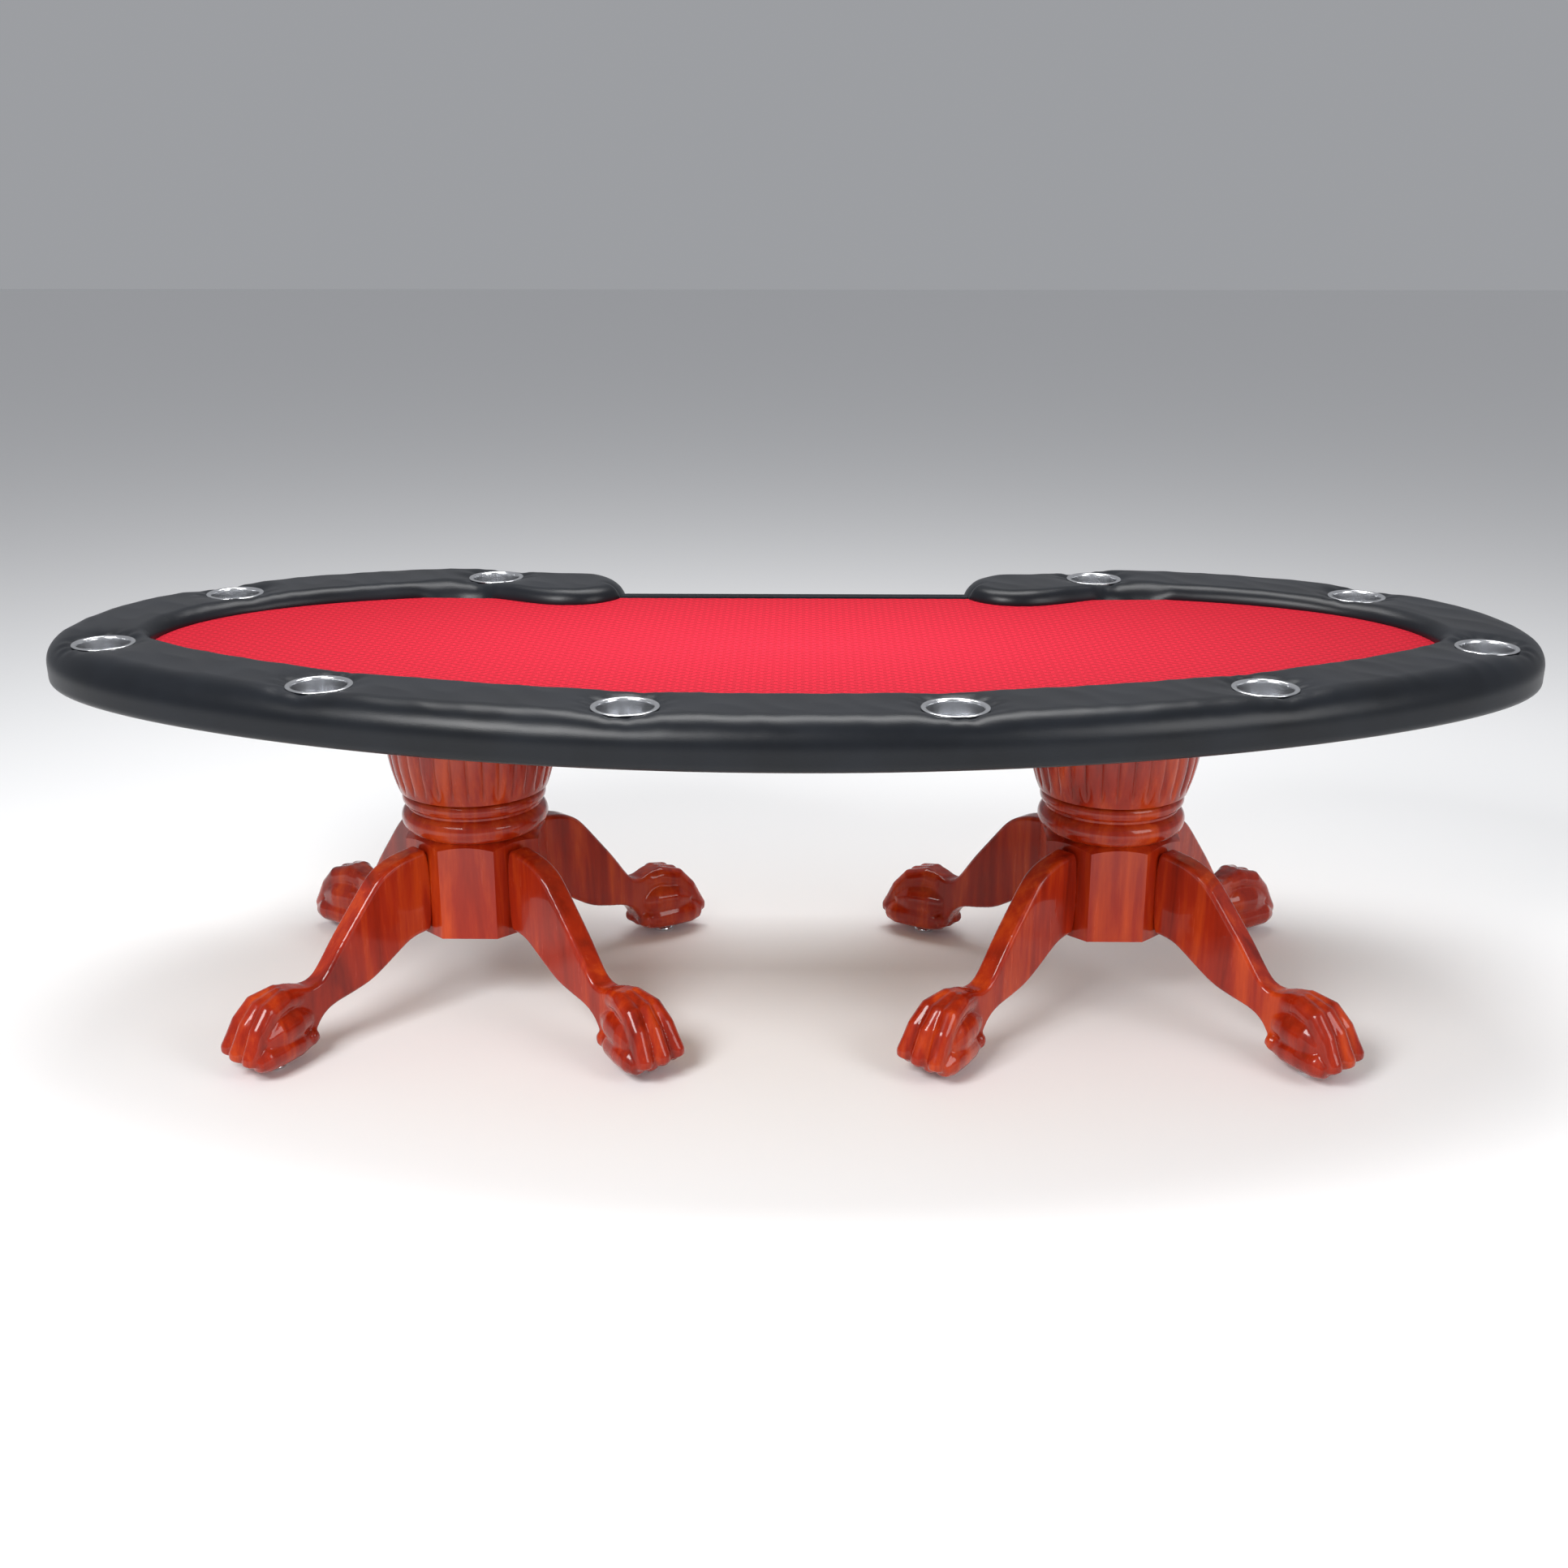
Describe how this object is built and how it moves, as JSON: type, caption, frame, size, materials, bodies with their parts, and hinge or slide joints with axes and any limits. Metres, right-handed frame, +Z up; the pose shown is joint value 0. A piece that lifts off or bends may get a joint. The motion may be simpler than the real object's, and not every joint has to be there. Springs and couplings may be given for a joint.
{
  "type": "poker table",
  "caption": "Oval casino card table with a padded black rail, red cloth, a dealer cut-out, drop-in cup holders and claw-foot pedestals.",
  "frame": {"origin": "on the floor, under the centre of the table's bounding box", "axes": "+X along the table's length, +Y towards the dealer's cut-out, +Z up"},
  "size_m": [2.7432, 1.1773, 0.737],
  "materials": {
    "vinyl": "satin black leatherette",
    "foam": "open-cell foam",
    "cloth": "red woven polyester card cloth with a small wave pattern",
    "plywood": "birch plywood",
    "fibreboard": "medium-density fibreboard",
    "edge_trim": "black leatherette over a wooden strip",
    "zinc_steel": "zinc-plated steel",
    "brass_insert": "turned brass",
    "stainless": "brushed stainless steel",
    "chrome": "chromed steel",
    "cherry_lacquer": "carved hardwood, cherry stain under deep gloss lacquer"
  },
  "bodies": {
    "table": {"sub_top": "plywood", "rail_core": "plywood", "playfield_board": "fibreboard", "cloth_underlay": "foam", "speed_cloth": "cloth", "rail_cover": "vinyl", "rail_foam": "foam", "dealer_edge_trim": "edge_trim", "rail_screws": "zinc_steel", "playfield_screws": "zinc_steel", "front_batten": "plywood", "back_batten": "plywood", "batten_screws": "zinc_steel", "plate_screws": "zinc_steel", "tie_rods": "zinc_steel", "tie_washers": "zinc_steel", "tie_nuts": "zinc_steel", "leg_bolts": "zinc_steel", "leg_washers": "zinc_steel", "leg_nuts": "zinc_steel", "glide_inserts": "brass_insert", "left_top_plate": "plywood", "left_fluted_urn": "cherry_lacquer", "left_base_ring": "cherry_lacquer", "left_hub": "cherry_lacquer", "left_hub_floor": "plywood", "right_top_plate": "plywood", "right_fluted_urn": "cherry_lacquer", "right_base_ring": "cherry_lacquer", "right_hub": "cherry_lacquer", "right_hub_floor": "plywood", "left_leg_front_outer": "cherry_lacquer", "left_leg_front_inner": "cherry_lacquer", "left_leg_back_outer": "cherry_lacquer", "left_leg_back_inner": "cherry_lacquer", "right_leg_front_outer": "cherry_lacquer", "right_leg_front_inner": "cherry_lacquer", "right_leg_back_outer": "cherry_lacquer", "right_leg_back_inner": "cherry_lacquer"},
    "glide_left_front_outer": {"left_glide_front_outer": "chrome"},
    "glide_left_front_inner": {"left_glide_front_inner": "chrome"},
    "glide_left_back_outer": {"left_glide_back_outer": "chrome"},
    "glide_left_back_inner": {"left_glide_back_inner": "chrome"},
    "glide_right_front_outer": {"right_glide_front_outer": "chrome"},
    "glide_right_front_inner": {"right_glide_front_inner": "chrome"},
    "glide_right_back_outer": {"right_glide_back_outer": "chrome"},
    "glide_right_back_inner": {"right_glide_back_inner": "chrome"},
    "cup_1": {"cup_holder_1": "stainless"},
    "cup_2": {"cup_holder_2": "stainless"},
    "cup_3": {"cup_holder_3": "stainless"},
    "cup_4": {"cup_holder_4": "stainless"},
    "cup_5": {"cup_holder_5": "stainless"},
    "cup_6": {"cup_holder_6": "stainless"},
    "cup_7": {"cup_holder_7": "stainless"},
    "cup_8": {"cup_holder_8": "stainless"},
    "cup_9": {"cup_holder_9": "stainless"},
    "cup_10": {"cup_holder_10": "stainless"}
  },
  "joints": [
    {"name": "left_front_outer_levelling", "type": "slide", "parent": "table", "child": "glide_left_front_outer", "axis": [0, 0, 1], "range_m": [-0.012, 0]},
    {"name": "left_front_inner_levelling", "type": "slide", "parent": "table", "child": "glide_left_front_inner", "axis": [0, 0, 1], "range_m": [-0.012, 0]},
    {"name": "left_back_outer_levelling", "type": "slide", "parent": "table", "child": "glide_left_back_outer", "axis": [0, 0, 1], "range_m": [-0.012, 0]},
    {"name": "left_back_inner_levelling", "type": "slide", "parent": "table", "child": "glide_left_back_inner", "axis": [0, 0, 1], "range_m": [-0.012, 0]},
    {"name": "right_front_outer_levelling", "type": "slide", "parent": "table", "child": "glide_right_front_outer", "axis": [0, 0, 1], "range_m": [-0.012, 0]},
    {"name": "right_front_inner_levelling", "type": "slide", "parent": "table", "child": "glide_right_front_inner", "axis": [0, 0, 1], "range_m": [-0.012, 0]},
    {"name": "right_back_outer_levelling", "type": "slide", "parent": "table", "child": "glide_right_back_outer", "axis": [0, 0, 1], "range_m": [-0.012, 0]},
    {"name": "right_back_inner_levelling", "type": "slide", "parent": "table", "child": "glide_right_back_inner", "axis": [0, 0, 1], "range_m": [-0.012, 0]},
    {"name": "cup_1_lift", "type": "slide", "parent": "table", "child": "cup_1", "axis": [0, 0, 1], "range_m": [0, 0.09]},
    {"name": "cup_2_lift", "type": "slide", "parent": "table", "child": "cup_2", "axis": [0, 0, 1], "range_m": [0, 0.09]},
    {"name": "cup_3_lift", "type": "slide", "parent": "table", "child": "cup_3", "axis": [0, 0, 1], "range_m": [0, 0.09]},
    {"name": "cup_4_lift", "type": "slide", "parent": "table", "child": "cup_4", "axis": [0, 0, 1], "range_m": [0, 0.09]},
    {"name": "cup_5_lift", "type": "slide", "parent": "table", "child": "cup_5", "axis": [0, 0, 1], "range_m": [0, 0.09]},
    {"name": "cup_6_lift", "type": "slide", "parent": "table", "child": "cup_6", "axis": [0, 0, 1], "range_m": [0, 0.09]},
    {"name": "cup_7_lift", "type": "slide", "parent": "table", "child": "cup_7", "axis": [0, 0, 1], "range_m": [0, 0.09]},
    {"name": "cup_8_lift", "type": "slide", "parent": "table", "child": "cup_8", "axis": [0, 0, 1], "range_m": [0, 0.09]},
    {"name": "cup_9_lift", "type": "slide", "parent": "table", "child": "cup_9", "axis": [0, 0, 1], "range_m": [0, 0.09]},
    {"name": "cup_10_lift", "type": "slide", "parent": "table", "child": "cup_10", "axis": [0, 0, 1], "range_m": [0, 0.09]}
  ]
}
